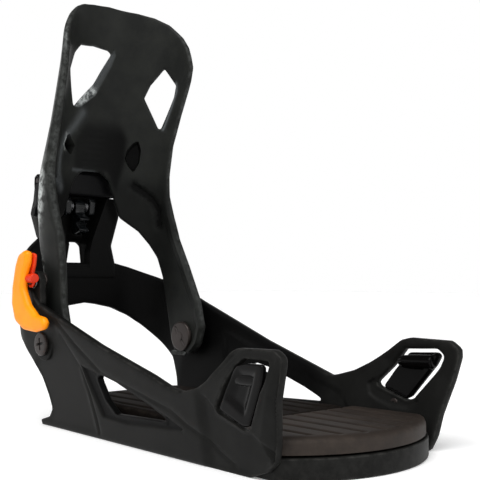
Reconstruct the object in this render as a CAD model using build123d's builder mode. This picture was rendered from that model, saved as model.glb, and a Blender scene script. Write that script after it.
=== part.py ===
from build123d import *
from math import cos, radians, sin
import os

# A strapless step-in snowboard binding. +X is towards the toe, +Z is up from the board, and the
# origin is the centre of the mounting disc on the board's surface. The release lever is on -Y.
# All sizes are in millimetres.

# Board interface
DISC_BOTTOM_RADIUS = 43.0
DISC_TOP_RADIUS = 50.0
DISC_CLEARANCE = 0.4
INSERT_SPACING = 40.0
SLOT_LENGTH = 18.0
SLOT_WIDTH = 6.6
SCREW_HEAD_WIDTH = 12.4

# Base
FLOOR_THICKNESS = 6.0
PAD_THICKNESS = 2.0
FRONT_BLOCK_HEIGHT = 11.1
TOE_X = 125.5
TOE_CORNER = (102.0, 57.0)
WALL_THICKNESS = 6.0
REAR_SECTION_X = -125.0
FRONT_SECTION_X = 120.0
REAR_WALL = ((55.0, 0.0), (66.5, 84.0))
FRONT_WALL = ((61.0, 0.0), (74.0, 62.0))

# Heel cup and tower
CUP_HALF_WIDTH = 64.0
CUP_REAR_X = -160.0
CUP_CORNER = 36.0
CUP_WALL = 4.5
CUP_BOTTOM = 30.0
CUP_TOP = 110.0
ARCH_TOP = 77.0
TOWER_FRONT_X = -155.0
TOWER_REAR_X = -172.0

# Highback: half width, rear x and corner radius of its outside, by height
HIGHBACK_SECTIONS = (
    (30.0, 52.0, -152.0, 38.0),
    (160.0, 52.0, -152.0, 41.0),
    (185.0, 51.5, -149.5, 46.0),
    (215.0, 50.0, -145.5, 47.0),
    (250.0, 48.0, -141.0, 46.0),
    (296.0, 47.3, -137.0, 46.0),
)
HIGHBACK_WALL = 4.0
HIGHBACK_FRONT_X = -70.0
HIGHBACK_TOP = 291.0

# Highback pivots
PIVOT = (-103.0, 53.0)
NUT_RADIUS = 4.5
NUT_INSIDE_Y = 44.8
BUSH_RADIUS = 6.0
RUNNING_CLEARANCE = 0.05
PIVOT_SCREW_RADIUS = 2.5

# Release lever and heel latch
LEVER_PIVOT = (-112.0, 93.0)
LEVER_PIN_RADIUS = 3.0
LATCH_PIVOT = (-161.5, 147.0)
LATCH_PIN_RADIUS = 2.5
TOWER_CENTRE_Y = -4.0
LINK_CENTRE = (-124.0, -28.0)
LINK_INNER_RADIUS = 37.0
LINK_OUTER_RADIUS = 39.0

# Forward-lean adjuster
LEAN_PIVOT = (-156.5, 163.0)
LEAN_PIN_RADIUS = 2.0
LEAN_TRAVEL = 12.0
LEAN_STOP_TOP = 172.0
RIB_HALF_WIDTH = 8.0
RIB_REAR_X = -157.0

# Toe ramp
RAMP_BOTTOM = 11.4
RAMP_TOP = 16.5
GRIP_TOP = 20.5
RAMP_REAR_X = 52.0
RAMP_TRAVEL = 12.0
RAMP_SCREWS = ((78.0, 32.0), (78.0, -32.0))

FOOTBED_TOP = 19.5

# The side walls' outline: the heel arch behind, the low valley, and the toe hook in front
WALL_OUTLINE = (
    (-166, 107), (-155, 104.5), (-146, 98.5), (-136, 93), (-118, 85), (-97, 75.5), (-60, 62),
    (-29, 51.5), (14, 40), (30, 35), (38, 34), (48, 37), (58, 43.5), (68, 52), (76, 59.5),
    (82, 62), (107, 62), (113.5, 58.5), (115.5, 52), (110, 30), (105, 9), (101, 1.5), (96, 0),
    (-124, 0), (-126, 3), (-117, 8), (-113.5, 13), (-117, 22.5), (-125, 36), (-136.5, 48),
    (-146.5, 59), (-154, 68), (-166, 76),
)
RAIL_WINDOW = ((-47, 38), (-37, 21.5), (-29, 19), (24, 19))
HOOK_SLOT = ((86, 54.5), (104, 54.5), (108, 51), (100, 38), (88, 24.5), (68, 32), (77, 43))
HOOK_DISH = ((63, 35), (91, 26), (86, 13), (66, 19), (59, 28))
HOOK_PLATE = ((88, 50), (102.5, 50), (104.5, 47.5), (97.5, 37.5), (87, 25.4), (70, 32), (79.5, 43))
HOOK_TAB = ((87, 25.8), (84, 15), (67, 20), (61.5, 28), (70, 33))
HOOK_SCREW = (77.0, 22.5)

TOWER_HALF = ((30, 96), (26.5, 106), (24.5, 119), (31.5, 141), (30, 150), (25, 153.5))
TOWER_CAVITY = ((3, 103), (5, 125), (16.5, 160), (-24.5, 160), (-16, 125), (-16, 103))
TOWER_STEP = ((-173, 92), (-162.5, 92), (-162.5, 117), (-172.1, 125), (-173, 125))
TOWER_WINDOW = ((-12.9, 105.5), (-0.9, 105.5), (-2.7, 121), (-10.4, 121))

# How deep the tower's cavity is, from the side
CAVITY_DEPTH = (
    (-150, 100), (-159.5, 100), (-159.5, 119), (-169, 126.5), (-169, 165), (-150, 165),
)

# The top of the heel cup's near half, from the tower down to the lever
CUP_NEAR_EDGE = ((-30, 128), (-40, 121), (-52, 112), (-60, 106), (-66, 102), (-66, 84), (-30, 84))

# The highback's outline from the side, its far half and its near half
HIGHBACK_LOBE = ((-92, 40.5), (-104, 39.5), (-113, 43), (-117, 51), (-119.4, 62.5),
                 (-122.4, 77), (-125.5, 96), (-129.5, 110))
HIGHBACK_FAR_EDGE = (
    (-165, 291), (-134, HIGHBACK_TOP), (-127, 288), (-111, 279), (-101.5, 269), (-96, 261),
    (-92, 254.5), (-90, 245.5), (-93, 236), (-99.5, 224), (-105, 213), (-114, 191.5),
    (-119.5, 170), (-120.5, 155), (-116.5, 139), (-111, 123), (-99, 103), (-86.5, 79.5),
    (-81, 60), (-83.5, 48),
)
HIGHBACK_NEAR_EDGE = (
    (-165, 291), (-134, HIGHBACK_TOP), (-131, 288), (-128, 285), (-125, 280), (-119, 270),
    (-112.5, 259), (-108, 250), (-106.5, 240), (-107.5, 232), (-109.5, 224), (-112.5, 212),
    (-116.5, 191), (-120, 170), (-118.5, 155), (-114.5, 139), (-108.5, 122), (-104.5, 103),
    (-101.5, 79.5), (-96.5, 65), (-91, 56), (-88, 47),
)
HIGHBACK_ARCH_HALF = ((13, 172), (17, 163), (23, 139.5), (35, 129), (41, 119.5), (44.5, 109.5))
UPPER_WINDOW_NEAR = (
    (-18, 258.5), (-5, 260.5), (6.5, 259.5), (9, 257), (-3.5, 234), (-19.5, 215.5),
    (-22.5, 216.5), (-29.5, 238.5), (-25, 250.5),
)
# Around FAR_WINDOW_CENTRE, in the plane of the highback's inside there
FAR_WINDOW_CENTRE = (-119.0, 39.5, 226.0)
FAR_WINDOW_ANGLE = 59.4
UPPER_WINDOW_FAR = (
    (0.5, 22), (6.7, 14.3), (11.7, 8.3), (10.7, 0.4), (1.9, -22), (-0.6, -21), (-12.5, 1),
    (-8.8, 10.3),
)

LEVER_OUTLINE = (
    (-107, 111), (-113, 112.5), (-121, 109.5), (-124.5, 102.6), (-128.5, 89), (-129, 78),
    (-124, 66.5), (-113, 61.5), (-98.5, 60.6), (-87, 63), (-84.5, 67), (-88, 70.5),
    (-97, 71.5), (-107, 78), (-113.5, 88), (-112, 97), (-108, 104),
)
LATCH_OUTLINE = (
    (-163.5, 147), (-163.5, 128), (-160, 126), (-150, 129), (-156, 134), (-149, 137),
    (-157, 142), (-157, 147),
)


def mirrored(half, centre=0.0):
    """The closed outline whose right half is given, mirrored about a vertical line."""
    right = [(centre + y, z) for y, z in half]
    left = [(centre - y, z) for y, z in reversed(half)]
    return right + left


def closed(points):
    """A face of the current sketch from a closed polygon."""
    with BuildLine() as outline:
        Polyline(*points, close=True)
    make_face(outline.edges())


def wall_face(section, thickness, skin=0.0, side=1):
    """A leaning wall's cross-section, from a depth under its outside inwards."""
    (y0, z0), (y1, z1) = section
    outer0, outer1 = y0 - skin, y1 - skin
    closed([
        (side * outer0, z0),
        (side * outer1, z1),
        (side * (outer1 - thickness), z1),
        (side * (outer0 - thickness), z0),
    ])


def wall_y(x, z):
    """How far out the leaning wall's outside is at a place along it."""
    t = (x - REAR_SECTION_X) / (FRONT_SECTION_X - REAR_SECTION_X)
    ends = []
    for (y0, z0), (y1, z1) in (REAR_WALL, FRONT_WALL):
        ends.append(y0 + (y1 - y0) * (z - z0) / (z1 - z0))
    return ends[0] + (ends[1] - ends[0]) * t


def toe_outline(rear_x, rear_half_width, inset=0.0):
    """A plan outline with a straight rear and the toe's arc in front."""
    corner_x, corner_y = TOE_CORNER
    corner_x -= inset
    corner_y -= inset
    with BuildLine() as outline:
        Polyline(
            (corner_x, corner_y), (rear_x, rear_half_width),
            (rear_x, -rear_half_width), (corner_x, -corner_y),
        )
        ThreePointArc((corner_x, -corner_y), (TOE_X - inset, 0), (corner_x, corner_y))
    make_face(outline.edges())


def rounded_u(half_width, rear_x, corner, front_x):
    """A plan outline open to the front: two sides, two corners and a rear."""
    side_x = rear_x + corner
    side_y = half_width - corner
    diagonal = corner * 0.5**0.5
    with BuildLine() as outline:
        Polyline((side_x, -half_width), (front_x, -half_width),
                 (front_x, half_width), (side_x, half_width))
        ThreePointArc((side_x, half_width), (side_x - diagonal, side_y + diagonal),
                      (rear_x, side_y))
        Line((rear_x, side_y), (rear_x, -side_y))
        ThreePointArc((rear_x, -side_y), (side_x - diagonal, -side_y - diagonal),
                      (side_x, -half_width))
    make_face(outline.edges())


def highback_solid(inset):
    """The highback's outside, or its inside when inset, as a solid from bottom to top."""
    with BuildPart() as solid:
        for z, half_width, rear_x, corner in HIGHBACK_SECTIONS:
            with BuildSketch(Plane.XY.offset(z)):
                rounded_u(half_width - inset, rear_x + inset, corner - inset,
                          HIGHBACK_FRONT_X + inset)
        loft(ruled=True)
    return solid.part


def y_cylinder(x, z, radius, y0, y1, mode=Mode.ADD):
    """A cylinder along Y between two places."""
    with BuildSketch(Plane.XZ.offset(-y0)) as outline:
        with Locations((x, z)):
            Circle(radius)
    extrude(outline.sketch, amount=y0 - y1, mode=mode)


def y_plate(points, y0, y1, mode=Mode.ADD):
    """A plate with an X-Z outline between two places along Y."""
    with BuildSketch(Plane.XZ.offset(-y0)) as outline:
        closed(points)
    extrude(outline.sketch, amount=y0 - y1, mode=mode)


def x_plate(points, x0, x1, mode=Mode.ADD):
    """A plate with a Y-Z outline between two places along X."""
    with BuildSketch(Plane.YZ.offset(x0)) as outline:
        closed(points)
    extrude(outline.sketch, amount=x1 - x0, mode=mode)


def coil(x, z, y0, radius, wire, turns):
    """A torsion spring's coil around a pin along Y."""
    pitch = wire * 2.2
    path = Helix(pitch, pitch * turns, radius, center=(x, y0, z), direction=(0, 1, 0))
    with BuildPart() as spring:
        with BuildSketch(Plane(origin=path @ 0, z_dir=path % 0)):
            Circle(wire)
        sweep(path=path)
    return spring.part


def save(part, label):
    part.label = label
    export_step(part, f"parts/{label}.step")


os.makedirs("parts", exist_ok=True)

# ---------------------------------------------------------------- chassis
with BuildPart() as near_cup:
    with BuildSketch(Plane.XY.offset(80)):
        rounded_u(CUP_HALF_WIDTH, CUP_REAR_X, CUP_CORNER, -118)
    extrude(amount=60)
    with BuildSketch(Plane.XY.offset(80)):
        rounded_u(CUP_HALF_WIDTH - CUP_WALL, CUP_REAR_X + CUP_WALL, CUP_CORNER - CUP_WALL, -100)
    extrude(amount=60, mode=Mode.SUBTRACT)
    x_plate(CUP_NEAR_EDGE, -180, -110, mode=Mode.INTERSECT)

with BuildPart() as tower_cavity:
    x_plate(TOWER_CAVITY, TOWER_REAR_X, TOWER_FRONT_X + 1)
    y_plate(CAVITY_DEPTH, -40, 40, mode=Mode.INTERSECT)

with BuildPart() as chassis:
    for side in (1, -1):
        with BuildSketch(Plane.YZ.offset(REAR_SECTION_X)):
            wall_face(REAR_WALL, WALL_THICKNESS, side=side)
        with BuildSketch(Plane.YZ.offset(FRONT_SECTION_X)):
            wall_face(FRONT_WALL, WALL_THICKNESS, side=side)
        loft(ruled=True)
    with BuildSketch(Plane.XY.offset(CUP_BOTTOM)):
        rounded_u(CUP_HALF_WIDTH, CUP_REAR_X, CUP_CORNER, -117)
    extrude(amount=CUP_TOP - CUP_BOTTOM)
    with BuildSketch():
        rounded_u(CUP_HALF_WIDTH - CUP_WALL, CUP_REAR_X + CUP_WALL, CUP_CORNER - CUP_WALL, -100)
    extrude(amount=CUP_TOP, mode=Mode.SUBTRACT)
    with BuildSketch(Plane.XZ):
        closed(WALL_OUTLINE)
    extrude(amount=90, both=True, mode=Mode.INTERSECT)
    with BuildSketch(Plane.YZ.offset(-170)):
        with BuildLine():
            ThreePointArc((-48, 57), (0, ARCH_TOP), (48, 57))
            Polyline((48, 57), (48, -1), (-48, -1), (-48, 57))
        make_face()
    extrude(amount=40, mode=Mode.SUBTRACT)

    add(near_cup.part)

    # The tower behind the heel, with its open front channel
    x_plate(mirrored(TOWER_HALF, TOWER_CENTRE_Y), TOWER_REAR_X, TOWER_FRONT_X)
    add(tower_cavity.part, mode=Mode.SUBTRACT)
    x_plate(TOWER_WINDOW, TOWER_REAR_X - 1, TOWER_FRONT_X + 1, mode=Mode.SUBTRACT)
    y_plate(TOWER_STEP, -40, 40, mode=Mode.SUBTRACT)

    # The floor, and the raised block under the toe ramp
    with BuildSketch():
        toe_outline(-112, 50)
    extrude(amount=FLOOR_THICKNESS)
    with BuildSketch():
        toe_outline(56, 56)
    extrude(amount=FRONT_BLOCK_HEIGHT)

    # The disc's conical seat
    with Locations((0, 0, FLOOR_THICKNESS / 2)):
        Cone(DISC_BOTTOM_RADIUS + DISC_CLEARANCE, DISC_TOP_RADIUS + DISC_CLEARANCE,
             FLOOR_THICKNESS, mode=Mode.SUBTRACT)

    # Pockets for the pads underneath, and one that lightens the front block
    with BuildSketch():
        with Locations((-86, 0)):
            RectangleRounded(48, 88, 6)
        with Locations((110, 0)):
            RectangleRounded(16, 66, 4)
    extrude(amount=PAD_THICKNESS, mode=Mode.SUBTRACT)
    with BuildSketch():
        with Locations((78, 0)):
            RectangleRounded(34, 46, 4)
    extrude(amount=FRONT_BLOCK_HEIGHT - 3, mode=Mode.SUBTRACT)

    # Slots for the ramp's screws and their heads
    for x, y in RAMP_SCREWS:
        with BuildSketch():
            with Locations((x + RAMP_TRAVEL / 2, y)):
                SlotCenterToCenter(RAMP_TRAVEL + 1, 6.2)
        extrude(amount=FRONT_BLOCK_HEIGHT, mode=Mode.SUBTRACT)
        with BuildSketch():
            with Locations((x + RAMP_TRAVEL / 2, y)):
                SlotCenterToCenter(RAMP_TRAVEL + 1, 11.4)
        extrude(amount=5, mode=Mode.SUBTRACT)

    # Windows in the rails, slots in the toe hooks, and the dishes around those slots
    with BuildSketch(Plane.XZ) as window:
        closed(RAIL_WINDOW)
        fillet(window.vertices(), 2.5)
    extrude(amount=90, both=True, mode=Mode.SUBTRACT)
    with BuildSketch(Plane.XZ):
        closed(HOOK_SLOT)
    extrude(amount=90, both=True, mode=Mode.SUBTRACT)
    for side in (1, -1):
        inner = wall_y(*HOOK_SCREW) - WALL_THICKNESS
        y_plate(HOOK_DISH, side * (inner - 6), side * (inner + 3), mode=Mode.SUBTRACT)
        y_cylinder(*HOOK_SCREW, 2.1, side * (inner - 6), side * 80, mode=Mode.SUBTRACT)

    # Pivot bosses, with a seat for the screw's head outside and a screw hole
    for side in (1, -1):
        y_cylinder(*PIVOT, 10.5, side * 53.4, side * 63)
        y_cylinder(*PIVOT, 8.0, side * 63, side * 70, mode=Mode.SUBTRACT)
        y_cylinder(*PIVOT, PIVOT_SCREW_RADIUS + 0.4, side * 50, side * 70, mode=Mode.SUBTRACT)

    # The lever's lug on the near wall
    y_plate([(-124, 80), (-124, 96), (-119, 102), (-105, 102), (-101, 96), (-101, 76)],
            -CUP_HALF_WIDTH, -CUP_HALF_WIDTH + CUP_WALL)
    y_cylinder(*LEVER_PIVOT, LEVER_PIN_RADIUS, -70, -50, mode=Mode.SUBTRACT)
save(chassis.part, "chassis")

# ---------------------------------------------------------------- mounting disc
with BuildPart() as mounting_disc:
    with Locations((0, 0, FLOOR_THICKNESS / 2)):
        Cone(DISC_BOTTOM_RADIUS, DISC_TOP_RADIUS, FLOOR_THICKNESS)
    with BuildSketch():
        with GridLocations(INSERT_SPACING, INSERT_SPACING, 2, 2):
            SlotOverall(SLOT_LENGTH, SLOT_WIDTH)
    extrude(amount=FLOOR_THICKNESS, mode=Mode.SUBTRACT)
    with BuildSketch(Plane.XY.offset(FLOOR_THICKNESS - 2.5)):
        with GridLocations(INSERT_SPACING, INSERT_SPACING, 2, 2):
            SlotOverall(SLOT_LENGTH + SCREW_HEAD_WIDTH - SLOT_WIDTH, SCREW_HEAD_WIDTH)
    extrude(amount=2.5, mode=Mode.SUBTRACT)
save(mounting_disc.part, "mounting_disc")

# ---------------------------------------------------------------- pads and footbed
with BuildPart() as base_pad_rear:
    with BuildSketch():
        with Locations((-86, 0)):
            RectangleRounded(47.4, 87.4, 5.7)
    extrude(amount=PAD_THICKNESS)
save(base_pad_rear.part, "base_pad_rear")

with BuildPart() as base_pad_front:
    with BuildSketch():
        with Locations((110, 0)):
            RectangleRounded(15.4, 65.4, 3.7)
    extrude(amount=PAD_THICKNESS)
save(base_pad_front.part, "base_pad_front")

with BuildPart() as footbed:
    with BuildSketch(Plane.XY.offset(FLOOR_THICKNESS + 0.3)) as footbed_plan:
        closed([(-102, -42), (51, -51.5), (51, 51.5), (-102, 42)])
        fillet(footbed_plan.vertices().group_by(Axis.X)[0], 24)
    extrude(amount=FOOTBED_TOP - FLOOR_THICKNESS - 0.3)
save(footbed.part, "footbed")

# ---------------------------------------------------------------- toe ramp
with BuildPart() as toe_ramp:
    with BuildSketch(Plane.XY.offset(RAMP_BOTTOM)):
        toe_outline(RAMP_REAR_X, 53.5, inset=1.0)
    extrude(amount=RAMP_TOP - RAMP_BOTTOM)
    with BuildSketch(Plane.XY.offset(RAMP_BOTTOM)):
        with Locations(*RAMP_SCREWS):
            Circle(2.5)
    extrude(amount=4, mode=Mode.SUBTRACT)
save(toe_ramp.part, "toe_ramp")

with BuildPart() as toe_grip:
    with BuildSketch(Plane.XY.offset(RAMP_TOP)):
        toe_outline(RAMP_REAR_X, 53.5, inset=1.0)
    extrude(amount=GRIP_TOP - RAMP_TOP)
    chamfer(toe_grip.edges().group_by(Axis.Z)[-1], 1.2)
save(toe_grip.part, "toe_grip")

with BuildPart() as ramp_screws:
    for x, y in RAMP_SCREWS:
        with BuildSketch(Plane.XY.offset(1.5)):
            with Locations((x, y)):
                Circle(5.0)
        extrude(amount=3)
        with BuildSketch(Plane.XY.offset(4.5)):
            with Locations((x, y)):
                Circle(2.5)
        extrude(amount=RAMP_BOTTOM + 4 - 4.5)
save(ramp_screws.part, "ramp_screws")

# ---------------------------------------------------------------- toe hooks
for side, name in ((-1, "near"), (1, "far")):
    with BuildPart() as hook_plate:
        with BuildSketch(Plane.YZ.offset(REAR_SECTION_X)):
            wall_face(REAR_WALL, 3.0, skin=2.5, side=side)
        with BuildSketch(Plane.YZ.offset(FRONT_SECTION_X)):
            wall_face(FRONT_WALL, 3.0, skin=2.5, side=side)
        loft(ruled=True)
        with BuildSketch(Plane.XZ):
            closed(HOOK_PLATE)
        extrude(amount=90, both=True, mode=Mode.INTERSECT)
        inner = wall_y(*HOOK_SCREW) - WALL_THICKNESS
        y_plate(HOOK_TAB, side * (inner - 0.5), side * (inner + 2.8))
        top = wall_y(95, 47) - 6.5
        with BuildSketch(Plane(origin=(86.5, side * top, 46.0), z_dir=(1, 0, 0.06))):
            Circle(4.0)
        extrude(amount=15)
        y_cylinder(*HOOK_SCREW, 2.1, side * (inner - 6), side * 80, mode=Mode.SUBTRACT)
    save(hook_plate.part, f"toe_hook_{name}")

with BuildPart() as hook_screws:
    for side in (1, -1):
        inner = wall_y(*HOOK_SCREW) - WALL_THICKNESS
        y_cylinder(*HOOK_SCREW, 3.8, side * (inner - 2.7), side * (inner - 0.5))
        y_cylinder(*HOOK_SCREW, 2.0, side * (inner - 0.5), side * (inner + 5.5))
save(hook_screws.part, "toe_hook_screws")

# ---------------------------------------------------------------- highback
highback_outside = highback_solid(0)
highback_inside = highback_solid(HIGHBACK_WALL)
with BuildPart() as highback_profile:
    y_plate([*HIGHBACK_FAR_EDGE, *HIGHBACK_LOBE, (-165, 112)], 0, 60)
    y_plate([*HIGHBACK_NEAR_EDGE, *HIGHBACK_LOBE, (-165, 112)], -60, 0)
with BuildPart() as highback:
    add(highback_outside)
    x_plate(mirrored([(RIB_HALF_WIDTH, LEAN_STOP_TOP + LEAN_TRAVEL), (RIB_HALF_WIDTH, 216)],
                     TOWER_CENTRE_Y), RIB_REAR_X, -135)
    add(highback_inside, mode=Mode.SUBTRACT)
    with BuildSketch(Plane.XY.offset(25)):
        with Locations((HIGHBACK_FRONT_X, 0)):
            Rectangle(2 * HIGHBACK_WALL + 2, 90)
    extrude(amount=280, mode=Mode.SUBTRACT)
    add(highback_profile.part, mode=Mode.INTERSECT)
    x_plate(mirrored([(44.5, 20), *reversed(HIGHBACK_ARCH_HALF)]), -165, -100,
            mode=Mode.SUBTRACT)

    # The two windows
    x_plate(UPPER_WINDOW_NEAR, -165, -110, mode=Mode.SUBTRACT)
    sine, cosine = sin(radians(FAR_WINDOW_ANGLE)), cos(radians(FAR_WINDOW_ANGLE))
    with BuildSketch(Plane(origin=FAR_WINDOW_CENTRE, x_dir=(sine, cosine, 0),
                           z_dir=(cosine, -sine, 0))):
        closed(UPPER_WINDOW_FAR)
    extrude(amount=12, both=True, mode=Mode.SUBTRACT)

    # Pivot holes for the bushes
    y_cylinder(*PIVOT, BUSH_RADIUS, -60, 60, mode=Mode.SUBTRACT)
save(highback.part, "highback")

with BuildPart() as pivot_bushes:
    for side in (1, -1):
        y_cylinder(*PIVOT, BUSH_RADIUS, side * 48, side * 52)
        y_cylinder(*PIVOT, NUT_RADIUS + RUNNING_CLEARANCE, side * 48, side * 52,
                   mode=Mode.SUBTRACT)
save(pivot_bushes.part, "pivot_bushes")

with BuildPart() as pivot_nuts:
    for side in (1, -1):
        y_cylinder(*PIVOT, 9.2, side * NUT_INSIDE_Y, side * 47.6)
        y_cylinder(*PIVOT, NUT_RADIUS, side * 47.6, side * 53.4)
        y_cylinder(*PIVOT, PIVOT_SCREW_RADIUS, side * 46.5, side * 53.4, mode=Mode.SUBTRACT)
        with BuildSketch(Plane.XZ.offset(-side * NUT_INSIDE_Y)):
            with Locations(Location((*PIVOT, 0), -50)):
                Rectangle(10, 1.4)
        extrude(amount=-side * 1.0, mode=Mode.SUBTRACT)
save(pivot_nuts.part, "pivot_nuts")

with BuildPart() as pivot_screws:
    for side in (1, -1):
        y_cylinder(*PIVOT, 7.5, side * 63, side * 65.8)
        y_cylinder(*PIVOT, PIVOT_SCREW_RADIUS, side * 47, side * 63)
        with BuildSketch(Plane.XZ.offset(-side * 65.8)):
            with Locations(PIVOT):
                Rectangle(6.5, 1.3)
                Rectangle(1.3, 6.5)
        extrude(amount=side * 1.4, mode=Mode.SUBTRACT)
save(pivot_screws.part, "pivot_screws")

# ---------------------------------------------------------------- heel latch
CHEEKS = ((-16.0, -11.6), (3.6, 8.0))
with BuildPart() as latch_housing:
    for y0, y1 in CHEEKS:
        y_plate([(-168.7, 139), (-168.7, 153), (-157, 153), (-155.5, 150), (-157, 141)], y0, y1)
    with Locations((-167.9, TOWER_CENTRE_Y, 147.5)):
        Box(1.6, 20, 11)
    y_cylinder(*LATCH_PIVOT, LATCH_PIN_RADIUS, -20, 12, mode=Mode.SUBTRACT)
    with BuildSketch(Plane.YZ.offset(-170)):
        with Locations((TOWER_CENTRE_Y - 5, 151), (TOWER_CENTRE_Y + 5, 151)):
            Circle(1.2)
    extrude(amount=4, mode=Mode.SUBTRACT)
save(latch_housing.part, "latch_housing")

with BuildPart() as heel_latch:
    y_plate(LATCH_OUTLINE, -8, 0)
    y_cylinder(*LATCH_PIVOT, 5.0, -8, 0)
    y_cylinder(*LATCH_PIVOT, LATCH_PIN_RADIUS + RUNNING_CLEARANCE, -9, 1, mode=Mode.SUBTRACT)
save(heel_latch.part, "heel_latch")

with BuildPart() as latch_pin:
    y_cylinder(*LATCH_PIVOT, LATCH_PIN_RADIUS, -16, 8)
save(latch_pin.part, "latch_pin")

spring_near = coil(*LATCH_PIVOT, -10.9, 3.5, 0.55, 1.5)
spring_far = coil(*LATCH_PIVOT, 1.1, 3.5, 0.55, 1.5)
with BuildPart() as latch_springs:
    add(spring_near)
    add(spring_far)
save(latch_springs.part, "latch_springs")

# ---------------------------------------------------------------- release lever
with BuildPart() as release_lever:
    y_plate(LEVER_OUTLINE, -73, -67.6)
    y_cylinder(*LEVER_PIVOT, 5.0, -73, -67.6)
    y_cylinder(*LEVER_PIVOT, LEVER_PIN_RADIUS + RUNNING_CLEARANCE, -74, -67, mode=Mode.SUBTRACT)
save(release_lever.part, "release_lever")

with BuildPart() as lever_hub:
    y_cylinder(*LEVER_PIVOT, 7.5, -67.6, -66.4)
    y_plate([(-119, 93), (-116, 104), (-109, 104), (-105, 93)], -67.6, -66.4)
    y_cylinder(*LEVER_PIVOT, LEVER_PIN_RADIUS + RUNNING_CLEARANCE, -68, -66, mode=Mode.SUBTRACT)
save(lever_hub.part, "lever_hub")

with BuildPart() as lever_pin:
    y_cylinder(*LEVER_PIVOT, LEVER_PIN_RADIUS, -73.4, -59.5)
    y_cylinder(*LEVER_PIVOT, 5.0, -59.5, -58)
    y_cylinder(*LEVER_PIVOT, 4.4, -74.6, -73.4)
save(lever_pin.part, "lever_pin")

lever_coil = coil(*LEVER_PIVOT, -65.8, 4.6, 0.45, 1)
save(lever_coil, "lever_spring")

with BuildPart() as release_link:
    with BuildSketch(Plane.XY.offset(86)):
        with Locations(LINK_CENTRE):
            Circle(LINK_OUTER_RADIUS)
            Circle(LINK_INNER_RADIUS, mode=Mode.SUBTRACT)
    extrude(amount=6)
    with BuildSketch(Plane.XY.offset(86)):
        closed([LINK_CENTRE, (-126, -90), (-220, -90), (-220, -68)])
    extrude(amount=6, mode=Mode.INTERSECT)
save(release_link.part, "release_link")

# ---------------------------------------------------------------- forward-lean adjuster
with BuildPart() as lean_block:
    y_plate([(-168, 154.3), (-168, 192), (-157.6, 192), (-157.6, LEAN_STOP_TOP),
             (-153.6, LEAN_STOP_TOP - 1), (-153.6, 154.3)], -22, 25)
    y_cylinder(*LEAN_PIVOT, 4.5, -36.5, -22)
    y_cylinder(*LEAN_PIVOT, LEAN_PIN_RADIUS, -37, -12, mode=Mode.SUBTRACT)
save(lean_block.part, "lean_block")

with BuildPart() as lean_lever:
    y_plate([(-160.5, 161), (-160, 166), (-156, 168), (-151.5, 165), (-151, 150), (-152, 139),
             (-155, 136), (-158.5, 138), (-159, 148)], -40, -36.8)
    y_cylinder(*LEAN_PIVOT, LEAN_PIN_RADIUS + RUNNING_CLEARANCE, -41, -36, mode=Mode.SUBTRACT)
save(lean_lever.part, "lean_lever")

with BuildPart() as lean_pin:
    y_cylinder(*LEAN_PIVOT, LEAN_PIN_RADIUS, -40.2, -12)
    y_cylinder(*LEAN_PIVOT, 3.0, -41.5, -40.2)
save(lean_pin.part, "lean_pin")
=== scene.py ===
import bpy
import bmesh
import numpy as np
from math import acos, ceil, cos, pi, radians, sin, tan
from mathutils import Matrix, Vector
from mathutils.geometry import delaunay_2d_cdt


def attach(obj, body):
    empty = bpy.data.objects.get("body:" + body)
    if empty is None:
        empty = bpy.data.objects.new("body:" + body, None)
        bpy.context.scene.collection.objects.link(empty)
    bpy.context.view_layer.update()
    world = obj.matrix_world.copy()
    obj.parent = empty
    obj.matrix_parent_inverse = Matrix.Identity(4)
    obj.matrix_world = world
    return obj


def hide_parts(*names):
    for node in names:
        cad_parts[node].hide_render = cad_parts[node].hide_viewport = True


# A strapless step-in snowboard binding. +X is towards the toe, +Z up, and the release lever is on -Y.
# Outlines and places are in millimetres; meshes are made in metres.

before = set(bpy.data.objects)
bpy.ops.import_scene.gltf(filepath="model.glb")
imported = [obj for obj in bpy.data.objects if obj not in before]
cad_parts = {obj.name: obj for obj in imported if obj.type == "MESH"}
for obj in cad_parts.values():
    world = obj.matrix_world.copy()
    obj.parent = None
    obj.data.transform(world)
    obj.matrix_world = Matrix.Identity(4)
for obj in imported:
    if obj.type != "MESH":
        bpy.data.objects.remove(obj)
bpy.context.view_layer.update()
MM = 0.001

# Side walls and heel hoop, as one band unrolled along its length
REAR_X = -160.0
HOOP_RADIUS = 36.0
HOOP_STRAIGHT = 28.0
HOOP_END = HOOP_STRAIGHT + HOOP_RADIUS * pi / 2
HOOP_CENTRE_X = REAR_X + HOOP_RADIUS
HOOP_HALF_WIDTH = 64.0
TO_BAND = HOOP_END - HOOP_CENTRE_X
WALL_HALF = 3.0

# Highback: height, half width, rear x and corner radius of its outside
HIGHBACK_SECTIONS = np.array([
    (30.0, 52.0, -152.0, 38.0),
    (160.0, 52.0, -152.0, 41.0),
    (185.0, 51.5, -149.5, 46.0),
    (215.0, 50.0, -145.5, 47.0),
    (250.0, 48.0, -141.0, 46.0),
    (296.0, 47.3, -137.0, 46.0),
])
HIGHBACK_HALF = 2.0

PIVOT = (-103.0, 53.0)
LEVER_PIVOT = (-112.0, 93.0)
TOWER_CENTRE_Y = -4.0
TOE_X = 125.5
TOE_CORNER = (102.0, 57.0)
HOOK_SCREW = (77.0, 22.5)


# ---------------------------------------------------------------- plane outlines

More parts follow.
